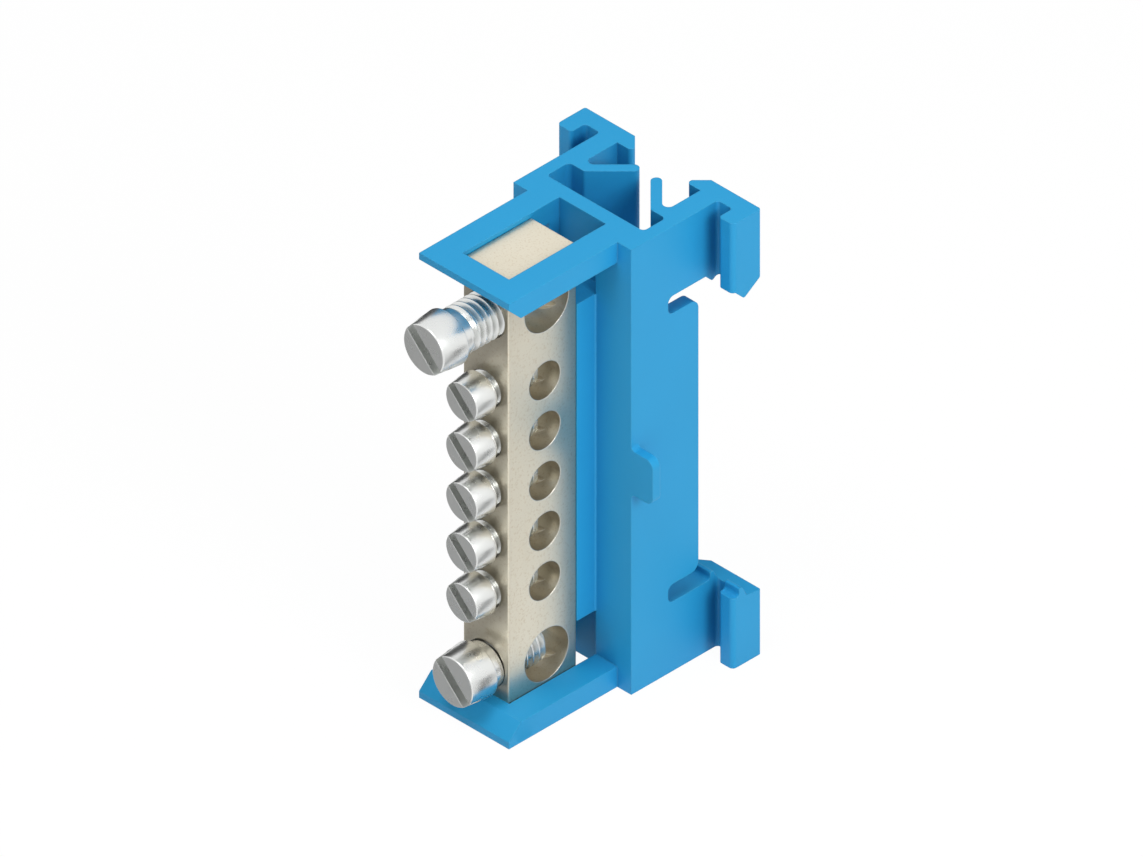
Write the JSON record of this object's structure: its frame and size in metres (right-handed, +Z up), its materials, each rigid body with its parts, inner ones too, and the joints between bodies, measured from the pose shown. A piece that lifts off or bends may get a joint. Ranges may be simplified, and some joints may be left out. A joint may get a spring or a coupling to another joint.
{
  "type": "neutral terminal bar",
  "caption": "Blue plastic holder that grips a top-hat rail, carrying a cross-drilled plated brass bar with slotted clamp screws for wires.",
  "frame": {"origin": "centre of the rail seat: on the plane of symmetry, at mid-height, on the plane of the rail's front face", "axes": "+Z up, along the terminal bar; +Y from the screws towards the rail; +X along the rail, to the side the wires enter from"},
  "size_m": [0.0232, 0.033, 0.051],
  "materials": {
    "blue_plastic": "satin moulded, light blue",
    "plated_brass": "dull nickel plate over brass",
    "plated_steel": "bright zinc plate"
  },
  "bodies": {
    "root": {"holder": "blue_plastic", "terminal_bar": "plated_brass"},
    "top_screw": {"large_clamp_screw_top": "plated_steel"},
    "bottom_screw": {"large_clamp_screw_bottom": "plated_steel"},
    "screw_1": {"small_clamp_screw_1": "plated_steel"},
    "screw_2": {"small_clamp_screw_2": "plated_steel"},
    "screw_3": {"small_clamp_screw_3": "plated_steel"},
    "screw_4": {"small_clamp_screw_4": "plated_steel"},
    "screw_5": {"small_clamp_screw_5": "plated_steel"}
  },
  "joints": [
    {"name": "top_screw_travel", "type": "slide", "parent": "root", "child": "top_screw", "axis": [0, 1, 0], "range_m": [0, 0.005]},
    {"name": "bottom_screw_travel", "type": "slide", "parent": "root", "child": "bottom_screw", "axis": [0, 1, 0], "range_m": [-0.0038, 0.0012]},
    {"name": "screw_1_travel", "type": "slide", "parent": "root", "child": "screw_1", "axis": [0, 1, 0], "range_m": [-0.0027, 0.0008]},
    {"name": "screw_2_travel", "type": "slide", "parent": "root", "child": "screw_2", "axis": [0, 1, 0], "range_m": [-0.0027, 0.0008]},
    {"name": "screw_3_travel", "type": "slide", "parent": "root", "child": "screw_3", "axis": [0, 1, 0], "range_m": [-0.0027, 0.0008]},
    {"name": "screw_4_travel", "type": "slide", "parent": "root", "child": "screw_4", "axis": [0, 1, 0], "range_m": [-0.0027, 0.0008]},
    {"name": "screw_5_travel", "type": "slide", "parent": "root", "child": "screw_5", "axis": [0, 1, 0], "range_m": [-0.0027, 0.0008]}
  ]
}
